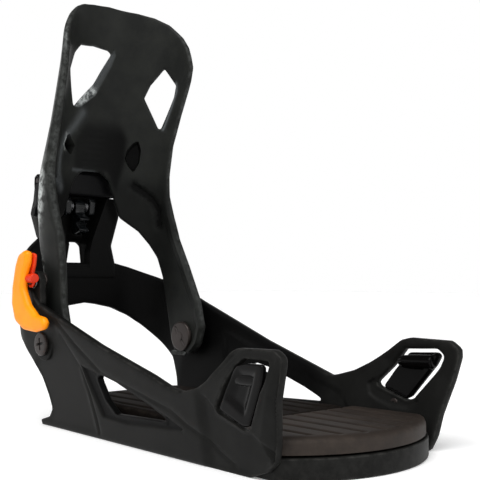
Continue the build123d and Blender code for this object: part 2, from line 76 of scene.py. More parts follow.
def filleted(points, radius, closed=True):
    """The path through these points with each corner rounded by a short curve."""
    points = np.array(points, float)
    count = len(points)
    path = []
    for i in range(count):
        here = points[i]
        if not closed and i in (0, count - 1):
            path.append(here)
            continue
        back = points[i - 1] - here
        ahead = points[(i + 1) % count] - here
        back_length, ahead_length = np.hypot(*back), np.hypot(*ahead)
        back, ahead = back / back_length, ahead / ahead_length
        turn = pi - acos(float(np.clip(back @ ahead, -1, 1)))
        cut = min(radius * tan(min(turn, 3.0) / 2), 0.45 * back_length, 0.45 * ahead_length)
        start, stop = here + back * cut, here + ahead * cut
        steps = max(1, ceil(turn / 0.2))
        for k in range(steps + 1):
            t = k / steps
            path.append((1 - t) ** 2 * start + 2 * t * (1 - t) * here + t * t * stop)
    return np.array(path)


def resampled(points, spacing, closed=True):
    """Evenly spaced points along a path."""
    points = np.array(points, float)
    if closed:
        points = np.vstack([points, points[:1]])
    steps = np.hypot(*np.diff(points, axis=0).T)
    along = np.concatenate([[0.0], np.cumsum(steps)])
    count = max(4, round(along[-1] / spacing))
    places = np.linspace(0, along[-1], count + 1)
    if closed:
        places = places[:-1]
    return np.column_stack([np.interp(places, along, points[:, k]) for k in (0, 1)])


def rounded(points, radius=3.0, spacing=1.6):
    """A closed outline with rounded corners, as evenly spaced points."""
    return resampled(filleted(points, radius), spacing)


def circle(centre, radius, count=48):
    """A circle, as evenly spaced points."""
    angles = np.linspace(0, 2 * pi, count, endpoint=False)
    return np.column_stack([centre[0] + radius * np.cos(angles), centre[1] + radius * np.sin(angles)])


def distance(points, line, closed=True):
    """How far each point is from a line."""
    starts = np.array(line, float)
    ends = np.roll(starts, -1, axis=0)
    if not closed:
        starts, ends = starts[:-1], ends[:-1]
    nearest = np.full(len(points), 1e9)
    for start, end in zip(starts, ends):
        way = end - start
        t = np.clip(((points - start) @ way) / max(way @ way, 1e-9), 0, 1)
        apart = points - start - t[:, None] * way
        nearest = np.minimum(nearest, np.hypot(apart[:, 0], apart[:, 1]))
    return nearest


def inside(points, loop):
    """Which points are inside a closed loop."""
    starts = np.array(loop, float)
    ends = np.roll(starts, -1, axis=0)
    x, y = points.T
    odd = np.zeros(len(points), bool)
    for (x0, y0), (x1, y1) in zip(starts, ends):
        if y0 != y1:
            odd ^= ((y0 > y) != (y1 > y)) & (x < (x1 - x0) * (y - y0) / (y1 - y0) + x0)
    return odd


def depth(points, loop):
    """How deep each point is inside a closed loop, negative outside it."""
    return np.where(inside(points, loop), 1, -1) * distance(points, loop)


def smooth(value):
    """A soft change from 0 to 1."""
    t = np.clip(value, 0, 1)
    return t * t * (3 - 2 * t)


def panel(points, loop, edge=1.6):
    """1 inside a loop and 0 outside it, with a soft edge."""
    return smooth(depth(points, loop) / edge + 0.5)


def groove(points, line, width=0.9):
    """1 on a line and 0 away from it."""
    return np.exp(-(distance(points, line, closed=False) / width) ** 2)


def sloped(points, facet, edge_count):
    """How far a point of a facet is from its high edge, from 0 to 1. Its low edge comes first."""
    low = distance(points, facet[:edge_count], closed=False)
    high = distance(points, facet[edge_count:], closed=False)
    return panel(points, facet, 1.0) * high / np.maximum(low + high, 0.1)


def box(x0, y0, x1, y1):
    """A rectangle's corners."""
    return [(x0, y0), (x1, y0), (x1, y1), (x0, y1)]


def mirrored(half, centre=0.0):
    """The closed outline whose right half is given, from bottom to top."""
    right = [(centre + y, z) for y, z in half]
    left = [(centre - y, z) for y, z in reversed(half)]
    return right + left


# ---------------------------------------------------------------- solid pieces

def seeds(loops, lines, rim, spacing):
    """The points inside a plate's outline: rings along its rims, rows along its lines, and a grid."""
    edge = np.vstack(loops)
    rings = []
    for loop in loops:
        way = np.roll(loop, -1, axis=0) - np.roll(loop, 1, axis=0)
        normal = np.column_stack([-way[:, 1], way[:, 0]]) / np.maximum(np.hypot(*way.T), 1e-9)[:, None]
        for share in (0.13, 0.5, 1.0):
            for side in (1, -1):
                rim_highlight = loop + side * share * rim * normal
                rings.append(rim_highlight[distance_to_all(rim_highlight, loops) > 0.93 * share * rim])
    rows = []
    for line in lines:
        path = resampled(line, 1.2, closed=False)
        way = np.gradient(path, axis=0)
        normal = np.column_stack([-way[:, 1], way[:, 0]]) / np.maximum(np.hypot(*way.T), 1e-9)[:, None]
        for shift in (-1.6, -0.8, 0.0, 0.8, 1.6):
            row = path + shift * normal
            rows.append(row[distance_to_all(row, loops) > rim + 0.4])
    low, high = edge.min(axis=0), edge.max(axis=0)
    columns = np.arange(low[0], high[0], spacing)
    across, up = np.meshgrid(columns, np.arange(low[1], high[1], spacing * 0.87))
    across[::2] += spacing / 2
    grid = np.column_stack([across.ravel(), up.ravel()])
    free = inside(grid, loops[0]) & (distance_to_all(grid, loops) > rim + 0.5 * spacing)
    for line in lines:
        free &= distance(grid, line, closed=False) > 1.6 + 0.4 * spacing
    found = np.vstack([*rings, *rows, grid[free]])
    keep = inside(found, loops[0])
    for hole in loops[1:]:
        keep &= ~inside(found, hole)
    return found[keep]


def distance_to_all(points, loops):
    """How far each point is from the nearest of several closed loops."""
    return np.min([distance(points, loop) for loop in loops], axis=0)


def plate(outline, place, half, holes=(), rim=1.5, drop=None, spacing=2.0,
          front=None, back=None, lines=(), fade=True, drop_back=None):
    """A closed plate with rounded rims. place turns plane points and a height into space, front and
    back are the relief on its two faces, and lines are where that relief has its edges."""
    drop = min(rim, 0.8 * half) if drop is None else drop
    drop_back = drop if drop_back is None else drop_back
    loops = [np.array(outline, float), *[np.array(hole, float) for hole in holes]]
    inner = seeds(loops, lines, rim, spacing)
    edges = []
    first = 0
    for loop in loops:
        count = len(loop)
        edges += [(first + i, first + (i + 1) % count) for i in range(count)]
        first += count
    given = [Vector(p) for p in np.vstack([*loops, inner])]
    found, _, triangles, _, _, _ = delaunay_2d_cdt(given, edges, [], 0, 1e-6)
    flat = np.array([tuple(p) for p in found])
    triangles = np.array(triangles)
    middles = flat[triangles].mean(axis=1)
    keep = inside(middles, loops[0])
    for hole in loops[1:]:
        keep &= ~inside(middles, hole)
    triangles = triangles[keep]
    used = {}
    for a, b, c in triangles.tolist():
        for pair in ((a, b), (b, c), (c, a)):
            used[pair] = used.get((pair[1], pair[0]), 0) + 1
            if (pair[1], pair[0]) in used:
                used[(pair[1], pair[0])] += 1
    rims = [pair for pair, times in used.items() if times == 1]
    away = distance_to_all(flat, loops)
    away[[i for pair in rims for i in pair]] = 0
    share = np.clip(away / rim, 0, 1)
    curve = 1 - np.sqrt(np.clip(1 - (1 - share) ** 2, 0, 1))
    weight = share if fade else np.ones(len(flat))
    top = half - drop * curve + (front(flat) * weight if front else 0)
    bottom = half - drop_back * curve + (back(flat) * weight if back else 0)
    count = len(flat)
    spots = np.vstack([place(flat[:, 0], flat[:, 1], top), place(flat[:, 0], flat[:, 1], -bottom)])
    faces = [tuple(t) for t in triangles.tolist()]
    faces += [(c + count, b + count, a + count) for a, b, c in triangles.tolist()]
    faces += [(b, a, a + count, b + count) for a, b in rims]
    wear = 0.3 * np.exp(-(away / 0.7) ** 2)
    if half > 2:
        wear[away == 0] *= 0.2
    return {"spots": spots, "faces": faces, "wear": np.concatenate([wear, wear]), "flat": flat}


def lathe(profile, origin, axis, count=48):
    """A closed piece turned about an axis. The profile is (along the axis, radius)."""
    axis = np.array(axis, float) / np.linalg.norm(axis)
    side = np.cross(axis, (0.0, 0.0, 1.0) if abs(axis[2]) < 0.9 else (1.0, 0.0, 0.0))
    side /= np.linalg.norm(side)
    up = np.cross(axis, side)
    angles = np.linspace(0, 2 * pi, count, endpoint=False)
    spots = []
    for along, radius in profile:
        rim_highlight = np.outer(np.cos(angles), side) + np.outer(np.sin(angles), up)
        spots.append(np.array(origin, float) + along * axis + radius * rim_highlight)
    faces = []
    for row in range(len(profile) - 1):
        for k in range(count):
            n = (k + 1) % count
            faces.append((row * count + k, row * count + n, (row + 1) * count + n, (row + 1) * count + k))
    faces.append(tuple(range(count)))
    faces.append(tuple((len(profile) - 1) * count + k for k in range(count)))
    return {"spots": np.vstack(spots), "faces": faces, "wear": np.zeros(count * len(profile))}


def turned(length, radius, edge=0.6):
    """A cylinder's profile with rounded ends."""
    return filleted([(0, 0.4 * radius), (0, radius), (length, radius), (length, 0.4 * radius)], edge,
                    closed=False)


def piece(name, parts, material, body, stands_for=()):
    """One object from closed parts, riding on its body and standing for CAD nodes."""
    spots, faces = [], []
    first = 0
    for part in parts:
        spots.append(part["spots"] * MM)
        faces += [tuple(i + first for i in face) for face in part["faces"]]
        first += len(part["spots"])
    mesh = bpy.data.meshes.new(name)
    mesh.from_pydata(np.vstack(spots).tolist(), [], faces)
    # Each point carries flecked wear, painted shade and a painted sheen.
    for label in ("wear", "shade", "painted_sheen"):
        values = [part.get(label, np.zeros(len(part["spots"]))) for part in parts]
        layer = mesh.attributes.new(label, "FLOAT", "POINT")
        layer.data.foreach_set("value", np.concatenate(values).astype(np.float32))
    edit = bmesh.new()
    edit.from_mesh(mesh)
    bmesh.ops.recalc_face_normals(edit, faces=edit.faces)
    edit.to_mesh(mesh)
    edit.free()
    mesh.shade_smooth()
    mesh.set_sharp_from_angle(angle=radians(50))
    mesh.materials.append(material)
    thing = bpy.data.objects.new(name, mesh)
    bpy.context.scene.collection.objects.link(thing)
    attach(thing, body)
    if stands_for:
        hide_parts(*stands_for)
    return thing


# ---------------------------------------------------------------- materials

def linear(colour):
    """A screen colour from 0 to 255 as the renderer's colour."""
    shares = [c / 255 for c in colour]
    return (*[s / 12.92 if s <= 0.04045 else ((s + 0.055) / 1.055) ** 2.4 for s in shares], 1.0)


def surface(name, dark, light, worn, roughness, grain, relief, metallic=0.0, specular=0.5,
            wear_amount=1.0):
    """A material with a fine bump and slow colour and roughness changes. Its mesh says where it is
    worn in flecks, where painted shade darkens it, and where a painted sheen lightens it evenly."""
    material = bpy.data.materials.new(name)
    material.use_nodes = True
    tree = material.node_tree
    shader = tree.nodes["Principled BSDF"]
    shader.inputs["Metallic"].default_value = metallic
    shader.inputs["Specular IOR Level"].default_value = specular

    def node(kind, **values):
        made = tree.nodes.new(kind)
        for key, value in values.items():
            made.inputs[key].default_value = value
        return made

    def mesh_value(label):
        """What the mesh says under this label."""
        made = tree.nodes.new("ShaderNodeAttribute")
        made.attribute_name = label
        return made.outputs["Fac"]

    def product(first, second):
        made = tree.nodes.new("ShaderNodeMath")
        made.operation = "MULTIPLY"
        tree.links.new(first, made.inputs[0])
        if isinstance(second, float):
            made.inputs[1].default_value = second
            made.use_clamp = True
        else:
            tree.links.new(second, made.inputs[1])
        return made.outputs[0]

    def blend(share, under, over):
        """From under, a colour or another blend, to the colour over."""
        made = tree.nodes.new("ShaderNodeMix")
        made.data_type = "RGBA"
        made.inputs[7].default_value = linear(over)
        tree.links.new(share, made.inputs[0])
        if isinstance(under, tuple):
            made.inputs[6].default_value = linear(under)
        else:
            tree.links.new(under.outputs[2], made.inputs[6])
        return made

    place = node("ShaderNodeTexCoord")
    slow = node("ShaderNodeTexNoise", Scale=60.0, Detail=4.0, Roughness=0.6)
    fine = node("ShaderNodeTexNoise", Scale=grain, Detail=3.0, Roughness=0.65)
    flecks = node("ShaderNodeTexNoise", Scale=220.0, Detail=5.0, Roughness=0.7)
    for texture in (slow, fine, flecks):
        tree.links.new(place.outputs["Object"], texture.inputs["Vector"])
    tone = node("ShaderNodeMapRange", **{"From Min": 0.35, "From Max": 0.65})
    tree.links.new(slow.outputs["Fac"], tone.inputs["Value"])
    broken = node("ShaderNodeMapRange", **{"From Min": 0.42, "From Max": 0.62})
    tree.links.new(flecks.outputs["Fac"], broken.inputs["Value"])
    scuffs_and_highlight = product(product(mesh_value("wear"), broken.outputs["Result"]), float(wear_amount))
    colour = blend(scuffs_and_highlight, blend(tone.outputs["Result"], dark, light), worn)
    # Painted shade darkens towards near black and a painted sheen lightens towards pale grey, where the
    # mesh says.
    for label, tint in (("shade", (5, 5, 5)), ("painted_sheen", (104, 108, 110))):
        colour = blend(mesh_value(label), colour, tint)
    tree.links.new(colour.outputs[2], shader.inputs["Base Color"])

    dull = node("ShaderNodeMapRange", **{"To Min": roughness - 0.07, "To Max": roughness + 0.07})
    tree.links.new(slow.outputs["Fac"], dull.inputs["Value"])
    tree.links.new(dull.outputs["Result"], shader.inputs["Roughness"])

    bump = node("ShaderNodeBump", Strength=0.35, Distance=relief)
    tree.links.new(fine.outputs["Fac"], bump.inputs["Height"])
    tree.links.new(bump.outputs["Normal"], shader.inputs["Normal"])
    return material


def shell_plastic():
    return surface("shell_plastic", (18, 18, 17), (25, 25, 24), (80, 79, 76), 0.48, 1400, 0.00012,
                   specular=0.06)


def highback_plastic():
    # The worn colour also paints the highlight on the near diamond's rim.
    return surface("highback_plastic", (30, 31, 30), (37, 38, 36), (180, 184, 182), 0.4, 1600, 0.00010,
                   specular=0.05)


def ramp_plastic():
    return surface("ramp_plastic", (29, 26, 23), (38, 33, 29), (88, 79, 71), 0.55, 1200, 0.00014,
                   specular=0.22)


def grip_rubber():
    return surface("grip_rubber", (33, 27, 23), (43, 36, 31), (90, 78, 68), 0.62, 900, 0.00018,
                   specular=0.2)


def pad_foam():
    return surface("pad_foam", (18, 15, 13), (25, 21, 18), (70, 62, 55), 0.72, 1100, 0.00022,
                   specular=0.05)


def hook_metal():
    return surface("hook_metal", (5, 5, 5), (9, 8, 8), (60, 58, 56), 0.14, 500, 0.00003,
                   specular=0.07, wear_amount=0.25)


def latch_metal():
    return surface("latch_metal", (9, 11, 12), (14, 16, 18), (110, 112, 114), 0.2, 700, 0.00006,
                   specular=0.22, wear_amount=0.4)


def fastener_steel():
    return surface("fastener_steel", (42, 37, 35), (54, 48, 46), (120, 112, 106), 0.36, 600, 0.00005,
                   metallic=0.6, specular=0.3, wear_amount=0.6)


def spring_steel():
    return surface("spring_steel", (96, 96, 98), (124, 124, 126), (170, 170, 170), 0.28, 500, 0.00003,
                   metallic=0.95)


def bush_plastic():
    return surface("bush_plastic", (60, 60, 60), (72, 72, 71), (110, 110, 108), 0.42, 900, 0.00006)


def disc_plastic():
    return surface("disc_plastic", (30, 30, 31), (38, 38, 39), (80, 80, 80), 0.55, 1000, 0.00014)


def adjuster_plastic():
    return surface("adjuster_plastic", (6, 6, 7), (10, 10, 11), (70, 70, 70), 0.35, 1100, 0.0001,
                   specular=0.06, wear_amount=0.3)


def lever_orange():
    return surface("lever_orange", (250, 136, 0), (253, 148, 0), (255, 180, 50), 0.4, 900, 0.00006,
                   specular=0.2, wear_amount=0.4)


def link_red():
    return surface("link_red", (196, 38, 6), (212, 52, 10), (240, 110, 50), 0.42, 900, 0.00006,
                   specular=0.25, wear_amount=0.4)


def carry_over(node, material):
    """A CAD node keeps its shape and gets a better material."""
    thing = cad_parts[node]
    thing.data.materials.clear()
    thing.data.materials.append(material)


SHELL = shell_plastic()
HIGHBACK = highback_plastic()
RAMP = ramp_plastic()
GRIP = grip_rubber()
FOAM = pad_foam()
HOOK = hook_metal()
LATCH = latch_metal()
STEEL = fastener_steel()
SPRING = spring_steel()
ADJUSTER = adjuster_plastic()
ORANGE = lever_orange()
RED = link_red()


# ---------------------------------------------------------------- places

def wall_y(x, z):
    """How far out the leaning rail's outside is."""
    rear = 55.0 + 11.5 * z / 84
    fore = 61.0 + 13.0 * z / 62
    return rear + (fore - rear) * (x + 125.0) / 245.0


def band_place(s, z, h):
    """The rails and heel hoop: length along the band from the spine, height, and height off its middle."""
    length = np.abs(s)
    side = np.where(s < 0, -1.0, 1.0)
    x_rail = length - TO_BAND
    x_now = np.maximum(x_rail, HOOP_CENTRE_X)
    half_width = np.minimum(wall_y(x_now, z), HOOP_HALF_WIDTH + 5 * smooth((x_now - HOOP_CENTRE_X) / 26))
    thin = 0.75 + 0.25 * smooth((length - HOOP_END) / 14)
    out = h * thin - WALL_HALF * thin
    angle = np.clip((length - HOOP_STRAIGHT) / HOOP_RADIUS, 0, pi / 2)
    straight = np.minimum(length, HOOP_STRAIGHT) / HOOP_STRAIGHT
    x = np.where(length < HOOP_END, HOOP_CENTRE_X - (HOOP_RADIUS + out) * np.cos(angle), x_rail)
    y = np.where(length < HOOP_STRAIGHT, straight * (half_width - HOOP_RADIUS),
                 half_width - HOOP_RADIUS + (HOOP_RADIUS + out) * np.sin(angle))
    return np.column_stack([x, side * y, z])


def near(points):
    """Places (x, z) on the near rail, as points of the band."""
    return [(-x - TO_BAND, z) for x, z in points]


def far(points):
    """Places (x, z) on the far rail, as points of the band."""
    return [(x + TO_BAND, z) for x, z in points]


def highback_place(s, z, h):
    """The highback: length round its inside from the spine, height, and height off its middle."""
    half_width, rear, corner = [
        np.mean([np.interp(z + shift, HIGHBACK_SECTIONS[:, 0], HIGHBACK_SECTIONS[:, k])
                 for shift in (-14, -7, 0, 7, 14)], axis=0) for k in (1, 2, 3)
    ]
    wall = 2 * HIGHBACK_HALF
    straight = half_width - corner
    inner = corner - wall
    length = np.abs(s)
    side = np.where(s < 0, -1.0, 1.0)
    angle = np.clip((length - straight) / inner, 0, pi / 2)
    radius = inner + HIGHBACK_HALF + h
    centre_x = rear + corner
    arc_end = straight + inner * pi / 2
    x = centre_x - radius * np.cos(angle) + np.maximum(length - arc_end, 0)
    y = np.minimum(length, straight) + radius * np.sin(angle)
    return np.column_stack([x, side * y, z])


def along_y(middle, side=-1):
    """A place for a plate in X-Z whose front faces out along Y."""
    def place(u, v, h):
        return np.column_stack([u, middle + side * h, v])
    return place


def along_x(middle, side=1):
    """A place for a plate in Y-Z whose front faces along X."""
    def place(u, v, h):
        return np.column_stack([middle + side * h, u, v])
    return place


def along_z(middle):
    """A place for a flat plate in X-Y whose front faces up."""
    def place(u, v, h):
        return np.column_stack([u, v, middle + h])
    return place


def rail_place(side, inset):
    """A place for a plate that lies along a leaning rail, at a depth under its outside."""
    def place(u, v, h):
        return np.column_stack([u, side * (wall_y(u, v) - inset + h), v])
    return place


def toe_outline(rear_x, rear_half_width, inset=0.0, spacing=1.8):
    """A plan outline with a straight rear and the toe's arc in front."""
    corner_x, corner_y = TOE_CORNER[0] - inset, TOE_CORNER[1] - inset
    rise = TOE_X - inset - corner_x
    radius = (corner_y ** 2 + rise ** 2) / (2 * rise)
    reach = acos((radius - rise) / radius)
    centre = TOE_X - inset - radius
    arc = [(centre + radius * cos(t), radius * sin(t)) for t in np.linspace(-reach, reach, 40)]
    return resampled(filleted([(rear_x, rear_half_width), (rear_x, -rear_half_width), *arc], 2.0), spacing)


# ---------------------------------------------------------------- chassis

BAND_BOTTOM_NEAR = [
    (-294.5, 0), (-88.5, 0), (-88.5, 3), (-101, 6.5), (-106, 12), (-103.5, 20), (-97.5, 31), (-86.8, 42),
    (-75.2, 52), (-60, 59), (-44, 66), (-30, 71), (-14, 75)
]
BAND_BOTTOM_FAR = [
    (0, 77), (9, 75.9), (23, 73.1), (36.8, 67.5), (51.2, 58.9), (67.9, 47.8), (83.7, 36.5), (91.5, 22.6),
    (95, 13), (91.5, 8), (82.5, 3), (84.5, 0), (312, 0)
]
BAND_TOP_FAR = [
    (315.5, 8), (317.5, 20), (323.7, 41), (327, 51), (327, 56), (321, 60), (294.3, 60.5), (288, 59),
    (278.8, 52.8), (266, 45), (254.7, 39.5), (244, 36.5), (237.5, 35), (178.5, 53.5), (109.9, 78.2),
    (84.5, 88), (62.9, 95.3), (49.9, 99.5), (38.2, 103.2), (26, 106)
]
BAND_TOP_NEAR = [
    (-26, 106), (-34, 126), (-40, 121.5), (-54, 112.5), (-67, 106.5), (-80, 103), (-87, 100), (-90, 91),
    (-96, 84), (-104, 78), (-111.6, 75.5), (-137.1, 67.2), (-173.4, 55.8), (-191.8, 51), (-222.6, 43),
    (-238.5, 37.8), (-249.5, 36.5), (-263, 39.8), (-272, 44.4), (-284.4, 53.8), (-290.7, 59.4),
    (-296, 61.3), (-320, 61.8), (-325, 58.5), (-325, 55), (-321.8, 40), (-317, 18), (-314, 10),
    (-307.5, 4.5), (-298.5, 1.5)
]
RECESS = [
    (-57.1, 42.2), (-39.7, 14.4), (-12.9, 13.4), (28.2, 15.8), (37.8, 17), (25, 22.1), (1.8, 29.8),
    (-34.8, 38.3)
]
RAIL_WINDOW = [
    (-42, 36.7), (-37, 38.5), (-21.6, 35.6), (8.6, 26.2), (27.6, 19), (-26.2, 17.2), (-35.2, 24.3)
]
NEAR_SLOT = [
    (91.5, 56.6), (108.3, 56.4), (108.7, 55), (104.9, 46.3), (91.2, 23.3), (86.5, 22.7), (67.8, 29.3),
    (67.8, 32), (75.6, 42.1), (86, 53.3)
]
FAR_SLOT = [
    (82.3, 54), (104.3, 55.2), (108.4, 52.3), (108.6, 50.2), (106.2, 45.4), (90.5, 27), (86.1, 25.7),
    (65.9, 31.7), (63.5, 33.7), (73.1, 43.1)
]
HOOK_BOSS = [
    (82, 66), (88, 60), (73, 49.5), (54.6, 39.3), (61.4, 35.2), (67.7, 29.6), (79.8, 24.1), (86.3, 21.9),
    (91.1, 22.6), (97, 18.9), (106, 14), (112, 42), (119, 66)
]
HOOK_CHAMFER = [
    (118.5, 62), (117.3, 54), (113.8, 40), (108.8, 18), (105, 9), (97, 18.9), (99.9, 24.5), (106, 39.2),
    (112.1, 54.1), (115.1, 60.4)
]
HOOK_DISH = [
    (58, 33), (60, 27), (66, 24), (76, 21.5), (88, 21.5), (94, 25), (91.5, 29), (86, 26.5), (66, 32.5),
    (62.5, 36)
]
RAIL_CREASE = [
    (-83, 68.7), (-61.5, 54.6), (-36.2, 40.2), (0, 32.5), (29.7, 25.9), (42.3, 19.9), (54.7, 15.8),
    (65.8, 8.6), (74.6, 4.5)
]
HEEL_CREASE = [(-80, 60.3), (-59, 41.4), (-52, 27), (-47.6, 12.9), (-46, 4)]

HEEL_PANEL = [(-85, 64), (-61, 42), (-55, 27), (-49, 3), (-119, 3), (-117, 40)]
RAIL_INSIDE = [(-70, 58), (-30, 46), (12, 34), (38, 26), (50, 12), (-60, 12)]


def shut(points):
    """A polygon's points with the first one repeated."""
    return [*points, points[0]]


def band_front(points):
    """The relief on the outside of the rails and heel hoop."""
    relief = np.zeros(len(points))
    for lay in (near, far):
        relief -= 1.5 * panel(points, lay(RECESS), 2.2)
        relief -= 0.7 * groove(points, lay(RAIL_CREASE), 1.1)
        relief -= 0.8 * groove(points, lay(HEEL_CREASE), 1.3)
        boss = panel(points, lay(HOOK_BOSS), 2.6)
        toe_part = smooth((np.abs(points[:, 0]) - TO_BAND - 52) / 8)
        relief -= 0.9 * (1 - boss) * toe_part
        relief -= 2.5 * sloped(points, lay(HOOK_CHAMFER), 5)
        relief -= 0.9 * panel(points, lay(HEEL_PANEL), 3.5)
    return relief


def band_back(points):
    """The relief on the inside of the rails and heel hoop."""
    relief = np.zeros(len(points))
    for lay in (near, far):
        relief -= 1.2 * panel(points, lay(HOOK_DISH), 1.6)
        relief -= 1.0 * panel(points, lay(RAIL_INSIDE), 3.0)
    return relief


def rails_and_hoop():
    outline = rounded([*BAND_BOTTOM_NEAR, *BAND_BOTTOM_FAR, *BAND_TOP_FAR, *BAND_TOP_NEAR], 3.0, 2.0)
    holes = []
    lines = []
    for lay, slot in ((near, NEAR_SLOT), (far, FAR_SLOT)):
        holes.append(rounded(lay(RAIL_WINDOW), 3.0, 1.5))
        holes.append(rounded(lay(slot), 2.5, 1.2))
        holes.append(circle(lay([PIVOT])[0], 2.9, 20))
        lines += [lay(shut(RECESS)), lay(shut(HOOK_BOSS)), lay(RAIL_CREASE), lay(HEEL_CREASE),
                  lay(shut(HOOK_DISH)), lay(shut(HOOK_CHAMFER))]
    made = plate(outline, band_place, WALL_HALF, holes, rim=2.0, drop=1.6, spacing=2.2, front=band_front,
                 back=band_back, lines=lines)
    flat = made["flat"]
    recess = np.max([panel(flat, lay(RECESS), 2.2) for lay in (near, far)], axis=0)
    deep = 0.95 * smooth((244 - np.abs(flat[:, 0])) / 24)
    made["shade"] = np.concatenate([recess, deep])
    return made


def floor_slots():
    """The slots under the toe block for the ramp's screws."""
    slots = []
    for y in (-32, 32):
        slots.append([(72.5, y + 5.7), (72.5, y - 5.7), (95.5, y - 5.7), (95.5, y + 5.7)])
    return slots


def base_floor():
    outline = toe_outline(-112, 50, 0.9)
    hole = circle((0, 0), 46.9, 120)
    pad_pockets = [rounded(box(-110, -44, -62, 44), 6), rounded(box(102, -33, 118, 33), 4)]

    def place(u, v, h):
        radius = np.maximum(np.hypot(u, v), 1e-6)
        cone = 1 + np.clip(1 - (radius - 46.9) / 12, 0, 1) * 3.5 * (h / 3) / radius
        return np.column_stack([u * cone, v * cone, 3 + h])

    def under(points):
        return -2.0 * np.max([panel(points, pocket, 0.8) for pocket in pad_pockets], axis=0)

    return plate(outline, place, 3.0, [hole], rim=0.8, spacing=2.6, back=under,
                 lines=[shut(pocket.tolist()) for pocket in pad_pockets])


def toe_block():
    outline = toe_outline(56, 56)
    pocket = rounded(box(61, -23, 95, 23), 4)
    pad_pocket = rounded(box(102, -33, 118, 33), 4)
    slots = [rounded(slot, 5.6) for slot in floor_slots()]

    def under(points):
        relief = -2.0 * panel(points, pad_pocket, 0.8) - 8.1 * panel(points, pocket, 0.8)
        for slot in slots:
            relief -= 5.0 * panel(points, slot, 0.8)
        return relief

    return plate(outline, along_z(5.55), 5.55, rim=1.2, spacing=2.4, back=under,
                 lines=[shut(loop.tolist()) for loop in (pocket, pad_pocket, *slots)])


TOWER = [(30, 94), (29.5, 105), (26, 118.7), (32.6, 140.7), (30.5, 150), (30, 155), (29.5, 161)]
TOWER_CAVITY = [
    (2, 103), (2.3, 114), (5.2, 125), (16.4, 153), (17, 157), (-26, 157), (-24, 146), (-16, 125),
    (-16, 103)
]
TOWER_WINDOW = [(-12.9, 105.6), (-0.9, 105.6), (-2.7, 121), (-10.4, 121)]


def tower():
    outline = rounded(mirrored(TOWER, TOWER_CENTRE_Y), 3, 1.4)
    hole = rounded(TOWER_WINDOW, 0.8, 1.0)

    def front(points):
        open_part = np.maximum(panel(points, TOWER_CAVITY, 1.2), smooth((points[:, 1] - 154.1) / 0.8))
        return -(4.5 + 9 * smooth((points[:, 1] - 119) / 7.5)) * open_part

    def back(points):
        return -9.5 * smooth((125 - points[:, 1]) / 8)

    lines = [shut(TOWER_CAVITY), [(-33, 154.5), (25, 154.5)]]
    made = plate(outline, along_x(-163.5), 8.5, [hole], rim=2.4, drop=1.2, spacing=1.8, front=front,
                 back=back, lines=lines, fade=False)
    made["shade"] = 0.85 * smooth((made["spots"][:, 0] + 170) / 4)
    return made


def pivot_boss(side):
    profile = filleted([(0, 3.4), (0, 10.5), (9.5, 10.5), (9.5, 3.4)], 0.8, closed=False)
    return lathe(profile, (PIVOT[0], side * 53.4, PIVOT[1]), (0, side, 0))


def lever_lug():
    outline = rounded([(-124, 78), (-124, 92), (-117, 99), (-110, 99), (-106.5, 94), (-105, 76)], 3, 1.4)
    return plate(outline, along_y(-61.8), 2.2, [circle(LEVER_PIVOT, 3.0, 24)], rim=1.0)


piece("shell",
      [rails_and_hoop(), base_floor(), toe_block(), tower(), pivot_boss(1), pivot_boss(-1), lever_lug()],
      SHELL, "chassis", ["chassis"])


# ---------------------------------------------------------------- highback

HIGHBACK_TOP = [
    (67.5, 260), (61.1, 268.5), (49.5, 279), (38, 285), (25.9, 288.3), (4.9, 290.6), (-8, 289.5),
    (-17.5, 287.5), (-24, 284), (-32, 277.5), (-40, 269), (-48, 258.5), (-53.5, 249)
]
HIGHBACK_NEAR = [
    (-56.5, 240), (-57.5, 230), (-57.5, 212), (-58, 191), (-60, 170), (-63.8, 155), (-68.3, 139),
    (-75, 122), (-78.5, 103), (-80.5, 79.5), (-85, 65), (-90, 57), (-92, 50), (-89, 42)
]
HIGHBACK_ARCH = [
    (-78, 39.5), (-68, 43), (-64.5, 50), (-62, 62.5), (-59, 77.3), (-55.7, 95.9), (-51.1, 109.7),
    (-44.7, 119.5), (-36.6, 129.4), (-23.2, 139.5), (-17.5, 157), (-14, 166), (-8, 171.5), (8, 171.5),
    (14, 166), (17.5, 157), (23.2, 139.5), (36.6, 129.4), (44.7, 119.5), (51.1, 109.7), (55.7, 95.9),
    (59, 77.3), (62, 62.5), (64.5, 50), (68, 43), (78, 39.5)
]
HIGHBACK_FAR = [
    (89, 41.5), (96.5, 48), (100.7, 60.3), (95.1, 79.4), (82.3, 103.1), (70.4, 123.2), (64.6, 139.1),
    (60, 155), (58.8, 169.6), (59.6, 191.5), (64.4, 212.7), (68, 224), (72.2, 236.2), (73.6, 245.4),
    (70.8, 253)
]
WINDOW_NEAR = [
    (-18.2, 258.7), (-5.1, 260.5), (6.3, 259.3), (8.8, 257.1), (-3.7, 233.8), (-19.7, 215.4),
    (-22.9, 216.4), (-32, 238.5), (-26.3, 250.7)
]
WINDOW_FAR = [
    (47.5, 248), (53.7, 240.3), (58.7, 234.3), (57.7, 226.4), (48.9, 204), (46.4, 205), (34.5, 227),
    (38.2, 236.3)
]
DIAMONDS = [
    [(26.4, 188.8), (29.6, 193.2), (32.8, 195.2), (35.2, 188.8), (34.8, 180), (31.6, 173.6), (28.4, 177),
    (25.2, 182.4)], [(-30.4, 187.6), (-28.4, 193.2), (-25.2, 194.8), (-18.4, 188.4), (-21.2, 182.4)]
]
GROOVES = [
    [(32, 163.6), (40, 158), (46.8, 152.4), (52, 144), (52.6, 133)], [(-33.4, 163), (-44.8, 154),
    (-51, 143.2), (-51.6, 131)]
]
FACET_NEAR = [
    (8.8, 257.1), (-3.7, 233.8), (-19.7, 215.4), (-14, 216.3), (-2.4, 225.6), (4.8, 239.2), (9.2, 247.6),
    (12, 256), (10.8, 260.4)
]
FACET_FAR = [
    (56.5, 237.4), (58.7, 234.3), (57.7, 226.4), (48.9, 204), (51.5, 203.5), (56.4, 217.6), (60.6, 230),
    (59.4, 236)
]
